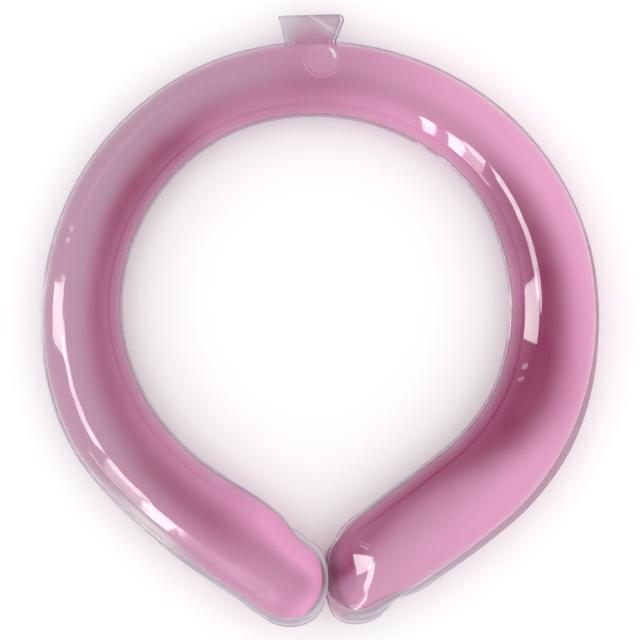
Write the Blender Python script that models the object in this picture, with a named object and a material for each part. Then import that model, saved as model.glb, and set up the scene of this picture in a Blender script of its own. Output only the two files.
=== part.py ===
"""Neck cooling tube, in metres, with +Z up.

A soft open ring lies flat, its nape at +Y and its two tips at -Y, the left tip over the right one. Two clear
formed films, one above and one below, are welded along a lip that follows the whole tube, and the lip widens
at the nape into a flared filling tab. The pink gel core lies between the films, with a stub in the tab's
filling channel and an air bubble under the upper film.
"""

import math

import bmesh
import bpy
import numpy as np
from mathutils import Matrix, Vector

# The ring and the tube
RING_RADIUS = 0.0772  # of the tube's spine, which SECTIONS takes a little in and out
TUBE_WIDTH = 0.0300  # the tube's widest section, without its lips
TUBE_HEIGHT = 0.0270  # the tube's highest section
REST_FLAT = 0.05  # share of the half height that the surface presses flat

# The films, their weld lips and the gel
FILM = 0.0008  # thickness of a formed film
LIP_WIDTH = 0.0025  # widest plain lip
LIP_THICKNESS = 0.0006  # one film's share of the lip
SEAM_GAP = 0.0003  # between the two films' lips
CORE_GAP = 0.0003  # between the films and the gel core

# The two tips
TIP_OVERLAP = 0.0104  # how far the left tip's lip passes over the right tip's, seen from above
TIP_MEETING = 0.0008  # where the overlap's middle lies, to the right of the ring's middle
TIP_GAP = 0.0005  # between the tips where they lie on each other
TIP_SLANT = math.radians(45)  # of the contact face, from upright
TIP_HEIGHT = 0.0119  # of the contact face where the tips meet
TIP_SOFTNESS = 5  # a higher power gives the contact face a harder edge
TIP_EASE = 0.0013  # extra room between film and gel behind the contact face
TIP_ZONE = 0.045  # from the meeting place, as far as a tip gives way to the other
NOSE_LIP = 0.0026  # lip round each tip's nose
NOSE_FROM = math.radians(150)  # each spine ends between this bearing and the front

# The filling tab
TAB_BEARING = math.radians(-1.7)
TAB_LENGTH = 0.0083  # beyond the ring's edge
TAB_END_WIDTH = 0.0212
TAB_NECK_WIDTH = 0.0168
TAB_FLARE = 1.5  # power of the flare, a higher one starts it later
TAB_CORNER = 0.0016  # corner radius at the tab's end
TAB_FILM = 0.0005  # one film's share of the flat tab
TAB_STEP = 0.00005  # keeps the tab's faces off the lip's
CHANNEL_WIDTH = 0.0130  # of the filling channel at the ring
CHANNEL_HEIGHT = 0.0052  # both halves together, at the ring
CHANNEL_ROOT = 0.80  # share of the tube's half width where the channel starts
CHANNEL_REACH = 0.75  # share of the tab's length that the channel runs up
CHANNEL_TAPER = 0.55  # share of its width that the channel loses on the way
CHANNEL_FADE = 0.87  # share of the tab's length at which the channel's height would be gone
STUB_ROOT = 0.50  # share of the tube's half width where the gel's stub starts
STUB_REACH = 0.50  # share of the tab's length that the gel runs up

# The air bubble under the upper film
BUBBLE_BEARING = math.radians(0.9)
BUBBLE_PLACE = 0.52  # share of the half width, outwards from the spine
BUBBLE_WIDTH = 0.0116
BUBBLE_LENGTH = 0.0122
BUBBLE_DEPTH = 0.0022

# How finely the solids are faceted
SPINE_STEPS = 42
NAPE_STEPS = 8  # sections behind the filling tab
NAPE_SPAN = 0.6  # how far they run each way, as a share of the tab's neck width
NOSE_STEPS = 9
DOME_STEPS = 4
TAB_STEPS = 5
CORNER_STEPS = 2
TAB_FACETS = 12
CHANNEL_FACETS = 8
BUBBLE_FACETS = 20
HALVINGS = 40  # of the search for each spine's end
SMOOTH_ANGLE = math.radians(35)  # edges sharper than this stay sharp

# Materials of the pieces
MATERIAL_COLUMNS = ("name", "colour", "roughness", "alpha")
MATERIALS = (
    ("clear_film", (0.90, 0.87, 0.90), 0.08, 0.3),
    ("pink_gel", (0.78, 0.40, 0.58), 0.25, 1.0),
)

# Sections of the tube by their bearing from the nape, in degrees, positive to the right. The reach is a share
# of RING_RADIUS, the half widths are shares of TUBE_WIDTH / 2, the height is a share of TUBE_HEIGHT, and the
# lift off the surface is a share of TUBE_HEIGHT.
SECTION_COLUMNS = ("bearing", "reach", "outer", "inner", "height", "lift")
SECTIONS = (
    (-180, 1.120, 0.93, 0.78, 0.95, 0.15),
    (-172, 1.064, 0.92, 0.78, 0.95, 0.12),
    (-169, 1.034, 0.93, 0.80, 0.95, 0.09),
    (-166, 1.011, 0.94, 0.90, 0.96, 0.06),
    (-160, 0.981, 0.95, 0.96, 0.97, 0.02),
    (-150, 0.957, 0.93, 0.94, 0.97, 0.00),
    (-138, 0.951, 0.90, 0.90, 0.96, 0.00),
    (-115, 0.975, 0.91, 0.91, 0.94, 0.00),
    (-90, 0.987, 0.82, 0.82, 0.89, 0.00),
    (-55, 1.001, 0.78, 0.78, 0.85, 0.00),
    (-25, 1.003, 0.76, 0.75, 0.82, 0.00),
    (0, 0.994, 0.76, 0.76, 0.82, 0.00),
    (25, 0.988, 0.78, 0.77, 0.82, 0.00),
    (50, 0.989, 0.81, 0.79, 0.86, 0.00),
    (70, 0.981, 0.87, 0.87, 0.91, 0.00),
    (90, 0.969, 0.90, 0.90, 0.94, 0.00),
    (115, 0.963, 0.94, 0.94, 0.97, 0.00),
    (130, 0.953, 0.97, 0.97, 0.99, 0.00),
    (145, 0.945, 0.99, 0.98, 1.00, 0.00),
    (160, 0.983, 0.98, 0.96, 1.00, 0.00),
    (168, 1.035, 0.95, 0.93, 0.99, 0.00),
    (172, 1.074, 0.93, 0.86, 0.97, -0.01),
    (180, 1.150, 0.92, 0.84, 0.95, -0.02),
)

# Width of the weld lip along the tube's two sides, as shares of LIP_WIDTH, straight from row to row
LIP_COLUMNS = ("bearing", "outer", "inner")
LIPS = (
    (-180, 0.80, 0.70),
    (-168.9, 0.75, 0.65),
    (-167.9, 0.72, 0.00),
    (-166.6, 0.70, 0.00),
    (-165.2, 0.70, 0.25),
    (-150, 0.65, 0.30),
    (-115, 0.45, 0.35),
    (-60, 0.32, 0.32),
    (60, 0.36, 0.35),
    (95, 0.50, 0.40),
    (118, 0.95, 0.40),
    (150, 0.80, 0.40),
    (163.0, 0.80, 0.45),
    (166.0, 0.45, 0.55),
    (169.0, 0.05, 0.60),
    (170.0, 0.05, 0.55),
    (171.0, 0.40, 0.20),
    (180, 0.40, 0.20),
)
LIP_CORNERS = (-168.9, -167.9, -165.2, 163.0, 169.0)  # sections added where the lip is trimmed in a step


def column(columns, rows, name):
    """One named column of a table, as an array."""
    return np.array(rows, float)[:, columns.index(name)]


def section(name, bearing):
    """A section's value at bearings in radians, on a smooth curve through the table's rows."""
    at = np.radians(column(SECTION_COLUMNS, SECTIONS, "bearing"))
    value = column(SECTION_COLUMNS, SECTIONS, name)
    slope = np.gradient(value, at)
    row = np.clip(np.searchsorted(at, bearing) - 1, 0, len(at) - 2)
    step = at[row + 1] - at[row]
    t = (bearing - at[row]) / step
    rest = 1 - t
    return (
        (1 + 2 * t) * rest**2 * value[row]
        + t * rest**2 * step * slope[row]
        + t**2 * (3 - 2 * t) * value[row + 1]
        - t**2 * rest * step * slope[row + 1]
    )


def lip(name, bearing):
    """The lip's width on one side of the tube."""
    at = np.radians(column(LIP_COLUMNS, LIPS, "bearing"))
    return LIP_WIDTH * np.interp(bearing, at, column(LIP_COLUMNS, LIPS, name))


def half_height(bearing):
    return TUBE_HEIGHT / 2 * section("height", bearing)


def seam_height(bearing):
    """Height of the weld seam: the tube's half height, less what the surface presses flat, and its lift."""
    return half_height(bearing) * (1 - REST_FLAT) + TUBE_HEIGHT * section("lift", bearing)


def spine(bearing):
    """Points of the tube's spine seen from above."""
    reach = RING_RADIUS * section("reach", bearing)
    return np.stack([reach * np.sin(bearing), reach * np.cos(bearing)], axis=-1)


def nose_bearing(side):
    """Where the spine ends, on the left (-1) or right (1), so that the tips' lips overlap by TIP_OVERLAP."""
    low, high = NOSE_FROM, math.pi
    for _ in range(HALVINGS):
        middle = (low + high) / 2
        at = np.array([side * middle])
        mean_width = (section("outer", at) + section("inner", at))[0] / 2
        reach = mean_width * TUBE_WIDTH / 2 + NOSE_LIP - TIP_OVERLAP / 2
        if side * (spine(at)[0, 0] - TIP_MEETING) > reach:
            low = middle
        else:
            high = middle
    return side * high


def stations():
    """Bearings of the tube's sections, from the left tip to the right, closer behind the tab and at trims."""
    left, right = nose_bearing(-1), nose_bearing(1)
    span = NAPE_SPAN * TAB_NECK_WIDTH / RING_RADIUS
    nape = TAB_BEARING + np.linspace(-span, span, NAPE_STEPS + 1)
    evenly = np.linspace(left, right, SPINE_STEPS + 1)
    spacing = evenly[1] - evenly[0]
    keep = (evenly < nape[0] - spacing / 2) | (evenly > nape[-1] + spacing / 2)
    corners = np.radians(LIP_CORNERS)
    corners = corners[(corners > left) & (corners < right)]
    return np.unique(np.concatenate([evenly[keep], nape, corners]))


class Loop:
    """Closed loop of directions round the tube: out along its outer side, round the right tip's nose, back
    along its inner side and round the left tip's nose. A point of a surface is its loop's spine point, plus a
    share of the loop's half width along its direction, plus a height."""

    def __init__(self):
        at = stations()
        points = spine(at)
        along = np.gradient(points, axis=0)
        along /= np.linalg.norm(along, axis=1)[:, None]
        outward = np.stack([-along[:, 1], along[:, 0]], axis=1)
        count = len(at)
        turn = np.linspace(0, math.pi, NOSE_STEPS + 2)[1:-1]
        tips = {"right": (count - 1, 1), "left": (0, -1)}
        run, facing, width, lips = [], [], [], []

        def side(order, sign, name):
            run.extend(order)
            facing.extend(sign * outward[order])
            width.extend(TUBE_WIDTH / 2 * section(name, at[order]))
            lips.extend(lip(name, at[order]))

        def nose(tip, turns):
            index, sign = tips[tip]
            end = at[index : index + 1]
            for angle in turns:
                share = (1 - math.cos(angle)) / 2
                run.append(index)
                facing.append(math.cos(angle) * outward[index] + sign * math.sin(angle) * along[index])
                ends = [section(name, end)[0] for name in ("outer", "inner")]
                width.append(TUBE_WIDTH / 2 * (ends[0] + (ends[1] - ends[0]) * share))
                edge = lip("outer" if angle < math.pi / 2 else "inner", end)[0]
                lips.append(edge + (NOSE_LIP - edge) * math.sqrt(math.sin(angle)))

        side(list(range(count)), 1, "outer")
        nose("right", turn)
        side(list(range(count))[::-1], -1, "inner")
        nose("left", turn[::-1])
        self.count = count
        self.run = np.array(run)
        self.facing = np.array(facing)
        self.width = np.array(width)
        self.lip = np.array(lips)
        self.bearing = at[self.run]
        self.centre = np.column_stack([points[self.run], seam_height(self.bearing)])
        self.half_height = half_height(self.bearing)

    def ring(self, reach, height, depth=0.0, ease=0.0):
        """One loop of points at this reach from the spine and height from the seam. They keep a depth above
        the surface that the tube lies on, and that and ease more off the face between the tips."""
        points = self.centre.copy()
        points[:, :2] += self.facing * np.asarray(reach)[:, None]
        points[:, 2] = np.maximum(points[:, 2] + height, depth)
        return keep_off_other_tip(points, self.centre, np.sign(self.bearing), depth + ease)


def keep_off_other_tip(points, centres, side, depth):
    """Draws the tips' points towards their spine points where they would pass the slanted face between the
    tips. The left tip stays above the face and the right tip below it."""
    normal = np.array([math.cos(TIP_SLANT), 0, -math.sin(TIP_SLANT)])
    meeting = np.array([TIP_MEETING, 0, TIP_HEIGHT])
    near = (centres[:, 1] < 0) & (abs(centres[:, 0] - TIP_MEETING) < TIP_ZONE)
    room = side * ((centres - meeting) @ normal) - TIP_GAP / 2 - depth
    wanted = np.maximum(-side * ((points - centres) @ normal), 0)
    asked = np.where(near, wanted / np.where(near, room, 1), 0)
    keep = (1 + asked**TIP_SOFTNESS) ** (-1 / TIP_SOFTNESS)
    return centres + (points - centres) * keep[:, None]


def dome_angles():
    """Angles up the tube's wall, from the seam to the edge of the stretch that the surface presses flat."""
    return np.linspace(0, math.asin(1 - REST_FLAT), DOME_STEPS + 1)[1:]


def shell_rows(loop, up):
    """Rows of a formed film from its outer crest, round its lip, to its inner crest."""
    outer, inner = [], []
    for angle in dome_angles():
        lean, rise = math.cos(angle), math.sin(angle)
        outer.append(loop.ring(loop.width * lean, up * loop.half_height * rise))
        inside = (loop.half_height - FILM) * rise
        inner.append(loop.ring((loop.width - FILM) * lean, up * inside, FILM))
    low, high = SEAM_GAP / 2, SEAM_GAP / 2 + LIP_THICKNESS
    rim = [
        loop.ring(loop.width, up * high),
        loop.ring(loop.width + loop.lip, up * high),
        loop.ring(loop.width + loop.lip, up * low),
        loop.ring(loop.width - FILM, up * low, FILM),
    ]
    crest = loop.ring(loop.width * 0, up * loop.half_height)
    inner_crest = loop.ring(loop.width * 0, up * (loop.half_height - FILM), FILM)
    return [crest, *outer[::-1], *rim, *inner, inner_crest]


def core_rows(loop):
    """Rows of the gel core from its upper crest, round its sides, to its lower crest."""
    depth = FILM + CORE_GAP
    angles = dome_angles()
    angles = np.concatenate([angles[::-1], [0], -angles])
    rows = [
        loop.ring(
            (loop.width - depth) * math.cos(angle),
            (loop.half_height - depth) * math.sin(angle),
            depth,
            TIP_EASE,
        )
        for angle in angles
    ]
    crests = [
        loop.ring(loop.width * 0, up * (loop.half_height - depth), depth, TIP_EASE)
        for up in (1, -1)
    ]
    return [crests[0], *rows, crests[1]]


def closed_mesh(name, loop, rows):
    """Mesh of a surface whose first and last rows are crests, which run once along the spine."""
    first = np.array([np.flatnonzero(loop.run == k)[0] for k in range(loop.count)])
    size = len(loop.run)
    points = [rows[0][first], *rows[1:-1], rows[-1][first]]
    starts = np.cumsum([0] + [len(row) for row in points])

    def index(row, place):
        place %= size
        if row in (0, len(rows) - 1):
            return int(starts[row] + loop.run[place])
        return int(starts[row] + place)

    faces = []
    for row in range(len(rows) - 1):
        for place in range(size):
            corners = (
                index(row, place),
                index(row, place + 1),
                index(row + 1, place + 1),
                index(row + 1, place),
            )
            faces.append(tuple(dict.fromkeys(corners)))
    mesh = bpy.data.meshes.new(name)
    mesh.from_pydata(np.concatenate(points).tolist(), [], faces)
    face_outwards(mesh)
    return mesh


def face_outwards(mesh):
    """Turns a closed mesh's faces so that they point out of it."""
    shape = bmesh.new()
    shape.from_mesh(mesh)
    bmesh.ops.recalc_face_normals(shape, faces=shape.faces)
    if shape.calc_volume(signed=True) < 0:
        bmesh.ops.reverse_faces(shape, faces=shape.faces)
    shape.to_mesh(mesh)
    shape.free()
    mesh.update()


def helper(mesh):
    """An object that only cuts or joins others."""
    obj = bpy.data.objects.new(mesh.name, mesh)
    bpy.context.scene.collection.objects.link(obj)
    obj.hide_render = True
    obj.display_type = "WIRE"
    return obj


def combine(obj, other, operation):
    modifier = obj.modifiers.new(other.name, "BOOLEAN")
    modifier.operation = operation
    modifier.object = other
    modifier.solver = "EXACT"


def tab_frame():
    """Matrix from the tab's own frame to the part's: X across it, Y out from the ring's middle, Z up from
    the seam."""
    height = float(seam_height(np.array([TAB_BEARING]))[0])
    return Matrix.Translation((0, 0, height)) @ Matrix.Rotation(-TAB_BEARING, 4, "Z")


def ring_reach(depth, height):
    """Distance from the ring's middle to the tube's outer wall behind the tab, at a depth into the wall and
    a height from the seam."""
    at = np.array([TAB_BEARING])
    width = TUBE_WIDTH / 2 * section("outer", at)[0] - depth
    rise = half_height(at)[0] - depth
    lean = math.sqrt(max(0.0, 1 - (height / rise) ** 2))
    return RING_RADIUS * section("reach", at)[0] + width * lean


def tab_edge():
    """Distance from the ring's middle to the edge of the ring's lip behind the tab."""
    return ring_reach(0, 0) + lip("outer", np.array([TAB_BEARING]))[0]


def on_ring(x, distance):
    """Distance along the tab of a point x across it that is this far from the ring's middle."""
    return math.sqrt(distance**2 - x**2)


def tab_half_width(share):
    """Half the tab's width at a share of its length, flaring from its neck and rounded at its end."""
    flare = TAB_NECK_WIDTH / 2 + (TAB_END_WIDTH - TAB_NECK_WIDTH) / 2 * share**TAB_FLARE
    short = TAB_CORNER - (1 - share) * TAB_LENGTH
    if short <= 0:
        return flare
    return flare - TAB_CORNER + math.sqrt(max(0.0, TAB_CORNER**2 - short**2))


def channel_section(share, margin):
    """Half width and half height of the filling channel at a share of the tab's length, less a margin."""
    taper = 1 - CHANNEL_TAPER * share / CHANNEL_REACH
    fall = 1 - share / CHANNEL_FADE
    return CHANNEL_WIDTH / 2 * taper - margin, CHANNEL_HEIGHT / 2 * fall - margin


def lens_height(x, half_width, half_rise):
    return half_rise * max(0.0, 1 - (x / half_width) ** 2)


def tab_shares():
    """Places of the tab's sections along it: its root, evenly up to its rounded corners, then round them."""
    straight = 1 - TAB_CORNER / TAB_LENGTH
    turn = np.linspace(0, math.pi / 2, CORNER_STEPS + 1)[1:]
    corner = straight + (1 - straight) * np.sin(turn)
    return [0, *np.linspace(0, straight, TAB_STEPS + 1), *corner]


def tab_sheet(name, up):
    """One film's half of the tab: a sheet with the channel's bulge, its root inside the ring's wall."""
    across = np.linspace(-1, 1, TAB_FACETS + 1)
    low = SEAM_GAP / 2 + TAB_STEP
    rows = []
    for number, share in enumerate(tab_shares()):
        half = tab_half_width(share)
        lens = channel_section(share, -FILM)
        top, bottom = [], []
        for place in across:
            x = place * half
            bulge = lens_height(x, *lens) if lens[1] > FILM else 0.0
            high = low + TAB_FILM + bulge
            for heights, z in ((top, high), (bottom, low)):
                if number == 0:
                    y = on_ring(x, ring_reach(FILM / 2, z))
                else:
                    y = on_ring(x, tab_edge()) * (1 - share) + (tab_edge() + TAB_LENGTH) * share
                heights.append((x, y, up * z))
        rows.append(top + bottom[::-1])
    return lofted(name, rows)


def channel_lens(name, margin, start, end):
    """The filling channel's lens-shaped inside, or the gel stub in it, between two places along the tab.
    start is a share of the tube's half width from the spine, and end is a share of the tab's length."""
    at = np.array([TAB_BEARING])
    inside = RING_RADIUS * section("reach", at)[0] + start * TUBE_WIDTH / 2 * section("outer", at)[0]
    places = [(inside, 0)]
    places += [(tab_edge() + TAB_LENGTH * share, share) for share in np.linspace(0, end, TAB_STEPS)]
    across = np.linspace(-1, 1, CHANNEL_FACETS + 1)
    rows = []
    for y, share in places:
        half, rise = channel_section(share, margin)
        top = [(x * half, y, lens_height(x * half, half, rise)) for x in across]
        bottom = [(x, y, -z) for x, y, z in top[-2:0:-1]]
        rows.append(top + bottom)
    return lofted(name, rows)


def lofted(name, rows):
    """Closed mesh through rows of points, each row a closed outline, placed in the tab's frame."""
    shape = bmesh.new()
    frame = tab_frame()
    loops = [[shape.verts.new(frame @ Vector(point)) for point in row] for row in rows]
    for first, second in zip(loops, loops[1:]):
        for k in range(len(first)):
            n = (k + 1) % len(first)
            shape.faces.new((first[k], first[n], second[n], second[k]))
    shape.faces.new(loops[0])
    shape.faces.new(loops[-1])
    bmesh.ops.triangulate(shape, faces=shape.faces)
    mesh = bpy.data.meshes.new(name)
    shape.to_mesh(mesh)
    shape.free()
    face_outwards(mesh)
    return mesh


def bubble():
    """The air bubble: a squashed ball whose middle lies on the gel core's upper surface."""
    at = np.array([BUBBLE_BEARING])
    depth = FILM + CORE_GAP
    width = TUBE_WIDTH / 2 * section("outer", at)[0] - depth
    rise = half_height(at)[0] - depth
    place = spine(at)[0]
    outward = place / np.linalg.norm(place)
    lean = BUBBLE_PLACE
    up = math.sqrt(1 - lean**2)
    centre = (*(place + outward * width * lean), seam_height(at)[0] + rise * up)
    tilt = math.atan2(lean / width, up / rise)
    shape = bmesh.new()
    bmesh.ops.create_uvsphere(shape, u_segments=BUBBLE_FACETS, v_segments=BUBBLE_FACETS // 2, radius=1)
    mesh = bpy.data.meshes.new("bubble")
    shape.to_mesh(mesh)
    shape.free()
    mesh.transform(
        Matrix.Translation(centre)
        @ Matrix.Rotation(-BUBBLE_BEARING, 4, "Z")
        @ Matrix.Rotation(-tilt, 4, "X")
        @ Matrix.Diagonal((BUBBLE_WIDTH / 2, BUBBLE_LENGTH / 2, BUBBLE_DEPTH, 1))
    )
    return mesh


def material(name):
    row = next(dict(zip(MATERIAL_COLUMNS, values)) for values in MATERIALS if values[0] == name)
    made = bpy.data.materials.new(name)
    made.use_nodes = True
    shader = made.node_tree.nodes["Principled BSDF"]
    shader.inputs["Base Color"].default_value = (*row["colour"], 1)
    shader.inputs["Roughness"].default_value = row["roughness"]
    shader.inputs["Metallic"].default_value = 0
    shader.inputs["Alpha"].default_value = row["alpha"]
    return made


def settle(pieces, helpers):
    """Applies the Booleans, deletes the helpers, and moves the origin to the middle of the whole box."""
    graph = bpy.context.evaluated_depsgraph_get()
    finished = [bpy.data.meshes.new_from_object(obj.evaluated_get(graph)) for obj in pieces]
    for obj, mesh in zip(pieces, finished):
        obj.modifiers.clear()
        obj.data = mesh
    for obj in helpers:
        bpy.data.objects.remove(obj)
    points = np.array([vertex.co for mesh in finished for vertex in mesh.vertices])
    middle = (points.min(axis=0) + points.max(axis=0)) / 2
    for mesh in finished:
        mesh.transform(Matrix.Translation((-middle[0], -middle[1], 0)))
        mesh.shade_smooth()
        mesh.set_sharp_from_angle(angle=SMOOTH_ANGLE)


def piece(name, loop, rows, finish):
    """An object with one of the part's long closed surfaces."""
    mesh = closed_mesh(name, loop, rows)
    mesh.materials.append(finish)
    obj = bpy.data.objects.new(name, mesh)
    bpy.context.scene.collection.objects.link(obj)
    return obj


def build():
    for obj in list(bpy.data.objects):
        bpy.data.objects.remove(obj)
    loop = Loop()
    clear = material("clear_film")
    channel = helper(channel_lens("channel", 0, CHANNEL_ROOT, CHANNEL_REACH))
    pieces, helpers = [], [channel]
    for name, up in (("upper_film", 1), ("lower_film", -1)):
        film = piece(name, loop, shell_rows(loop, up), clear)
        sheet = helper(tab_sheet(name + "_tab", up))
        combine(film, sheet, "UNION")
        combine(film, channel, "DIFFERENCE")
        pieces.append(film)
        helpers.append(sheet)
    core = piece("gel_core", loop, core_rows(loop), material("pink_gel"))
    stub = helper(channel_lens("stub", CORE_GAP, STUB_ROOT, STUB_REACH))
    hollow = helper(bubble())
    combine(core, stub, "UNION")
    combine(core, hollow, "DIFFERENCE")
    bpy.context.view_layer.update()
    settle([*pieces, core], [*helpers, stub, hollow])


build()
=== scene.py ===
"""Looks of the neck cooling tube: a clear film skin, the pink gel in it and the filling tab, on a pale floor.

The skin and the gel are surfaces carried along the tube's spine. A point of either is a spine point, plus a
share of the tube's half width along a direction seen from above, plus a height from the weld seam. Lengths
are in metres and +Z is up.
"""

import math

import bpy
import numpy as np
from mathutils import Matrix, Vector


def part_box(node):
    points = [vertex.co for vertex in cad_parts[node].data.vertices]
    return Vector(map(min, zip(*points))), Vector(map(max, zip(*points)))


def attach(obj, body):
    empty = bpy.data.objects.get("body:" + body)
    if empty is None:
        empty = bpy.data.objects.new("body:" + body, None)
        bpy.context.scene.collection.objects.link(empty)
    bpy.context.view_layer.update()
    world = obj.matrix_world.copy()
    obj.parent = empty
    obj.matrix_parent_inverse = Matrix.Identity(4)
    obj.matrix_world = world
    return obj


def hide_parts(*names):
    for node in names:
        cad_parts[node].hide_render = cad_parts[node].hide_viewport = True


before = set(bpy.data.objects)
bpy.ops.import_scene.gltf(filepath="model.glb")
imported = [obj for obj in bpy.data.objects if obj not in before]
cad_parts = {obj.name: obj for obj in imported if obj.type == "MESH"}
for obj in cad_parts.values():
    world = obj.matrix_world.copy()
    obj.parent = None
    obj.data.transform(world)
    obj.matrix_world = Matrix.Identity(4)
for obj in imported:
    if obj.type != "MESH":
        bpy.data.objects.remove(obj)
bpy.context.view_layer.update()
FILM_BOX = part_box("lower_film")

bl_info = {
    "name": "Neck cooling tube",
    "version": (1, 0, 0),
    "blender": (4, 5, 0),
    "location": "3D View > Sidebar > Cooling tube",
    "description": "Builds the clear skin, the gel and the filling tab of a neck cooling tube",
    "category": "Add Mesh",
}


def table(columns, *rows):
    """The rows' columns by their names, with the bearings turned from degrees into radians."""
    values = dict(zip(columns.split(), np.array(rows, float).T))
    values["bearing"] = np.radians(values["bearing"])
    return values


# Sections of the tube by their bearing from the nape, in degrees, positive to the right. The reach is a share
# of the ring's radius, the half widths are shares of half the tube's width, and the height and the lift off
# the surface are shares of the tube's height.
SECTIONS = table(
    "bearing reach outer inner height lift",
    (-180, 1.12, 0.93, 0.78, 0.95, 0.15),
    (-172, 1.064, 0.92, 0.78, 0.95, 0.12),
    (-169, 1.034, 0.93, 0.8, 0.95, 0.09),
    (-166, 1.011, 0.94, 0.9, 0.96, 0.06),
    (-160, 0.981, 0.95, 0.96, 0.97, 0.02),
    (-150, 0.957, 0.93, 0.94, 0.97, 0),
    (-138, 0.951, 0.9, 0.9, 0.96, 0),
    (-115, 0.975, 0.91, 0.91, 0.94, 0),
    (-90, 0.987, 0.82, 0.82, 0.89, 0),
    (-55, 1.001, 0.78, 0.78, 0.85, 0),
    (-25, 1.003, 0.76, 0.75, 0.82, 0),
    (0, 0.994, 0.76, 0.76, 0.82, 0),
    (25, 0.988, 0.78, 0.77, 0.82, 0),
    (50, 0.989, 0.81, 0.79, 0.86, 0),
    (70, 0.981, 0.87, 0.87, 0.91, 0),
    (90, 0.969, 0.9, 0.9, 0.94, 0),
    (115, 0.963, 0.94, 0.94, 0.97, 0),
    (130, 0.953, 0.97, 0.97, 0.99, 0),
    (145, 0.945, 0.99, 0.98, 1, 0),
    (160, 0.983, 0.98, 0.96, 1, 0),
    (168, 1.035, 0.95, 0.93, 0.99, 0),
    (172, 1.074, 0.93, 0.86, 0.97, -0.01),
    (180, 1.15, 0.92, 0.84, 0.95, -0.02),
)

# Width of the weld lip along the tube's two sides, as shares of the widest lip, straight from row to row
LIPS = table(
    "bearing outer inner",
    (-180, 0.8, 0.7),
    (-168.9, 0.75, 0.65),
    (-167.9, 0.72, 0),
    (-166.6, 0.7, 0),
    (-165.2, 0.7, 0.25),
    (-150, 0.65, 0.3),
    (-115, 0.45, 0.35),
    (-60, 0.32, 0.32),
    (60, 0.36, 0.35),
    (95, 0.5, 0.4),
    (118, 0.95, 0.4),
    (150, 0.8, 0.4),
    (163, 0.8, 0.45),
    (166, 0.45, 0.55),
    (169, 0.05, 0.6),
    (170, 0.05, 0.55),
    (171, 0.4, 0.2),
    (180, 0.4, 0.2),
)

# How far the gel stays inside the skin on the tube's two sides, as shares of the plain gap
INSETS = table(
    "bearing outer inner",
    (-180, 0.4, 0.9),
    (-165, 0.5, 0.6),
    (-150, 1.6, 0.3),
    (-140, 1.6, 0.3),
    (-120, 0.8, 0.3),
    (-90, 0.3, 0.3),
    (155, 0.3, 0.3),
    (163, 1.2, 0.6),
    (168, 4, 1.2),
    (172, 6, 1.4),
    (180, 6, 1.4),
)

# Tone of the gel by bearing, with painted shade and painted light: where across the tube its painted dark
# band lies (-1 inner edge, 1 outer edge), the band's half width, how dark it is, how much painted light greys
# the gel on the window's side, how much painted glow brightens it on the far side and at its inner edge, how
# rose the lip's empty film is, and how matt the film is
TONES = table(
    "bearing place spread dark haze glow inner rose matt",
    (-180, -0.1, 0.5, 0, 0.5, 0.4, 0.75, 0, 1),
    (-165, -0.1, 0.5, 0.14, 0.5, 0.38, 0.75, 0, 1),
    (-152, -0.22, 0.42, 0.5, 0.35, 0.25, 0.55, 0.1, 0.9),
    (-146, -0.26, 0.42, 0.62, 0.45, 0.25, 0.45, 0.15, 0),
    (-135, -0.3, 0.42, 0.62, 0.75, 0.15, 0.3, 0.2, 0),
    (-120, -0.44, 0.38, 0.56, 1, 0.15, 0.2, 0.3, 0.1),
    (-100, -0.52, 0.32, 0.54, 1, 0.15, 0, 0.35, 0.1),
    (-75, -0.55, 0.31, 0.62, 1, 0.1, 0, 0.4, 0),
    (-50, -0.5, 0.38, 0.78, 1, 0, 0, 0.5, 0),
    (-38, -0.5, 0.4, 0.66, 0.95, 0, 0.1, 0.52, 0),
    (-30, -0.46, 0.4, 0.48, 0.85, 0, 0.45, 0.55, 0),
    (-18, -0.42, 0.45, 0.25, 0.75, 0.05, 0.3, 0.6, 0),
    (0, -0.3, 0.5, 0.32, 0.3, 0.05, 0.35, 0.7, 0),
    (10, -0.22, 0.45, 0.14, 0.28, 0.25, 0.55, 0.7, 0),
    (20, -0.25, 0.5, 0, 0.25, 0.5, 0.8, 0.7, 0),
    (33, -0.42, 0.4, 0, 0.12, 0.8, 0.75, 0.68, 0),
    (44, -0.45, 0.34, 0.16, 0.08, 0.85, 0.4, 0.66, 0),
    (55, -0.42, 0.4, 0.58, 0, 0.9, 0.05, 0.7, 0),
    (68, -0.36, 0.48, 0.8, 0, 0.9, 0, 0.75, 0),
    (80, -0.34, 0.56, 0.92, 0, 0.9, 0.3, 0.8, 0),
    (93, -0.34, 0.66, 1, 0, 0.88, 0.15, 0.85, 0),
    (108, -0.36, 0.76, 1.08, 0, 0.8, 0, 0.85, 0),
    (120, -0.48, 0.62, 1, 0, 0.78, 0, 0.8, 0),
    (130, -0.64, 0.44, 0.88, 0.15, 0.76, 0, 0.75, 0),
    (145, -0.78, 0.26, 0.75, 0.3, 0.7, 0, 0.5, 0),
    (160, -0.74, 0.26, 0.62, 0.5, 0.55, 0, 0.1, 0),
    (180, -0.45, 0.35, 0.55, 0.5, 0.3, 0, 0, 0),
)

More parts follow.
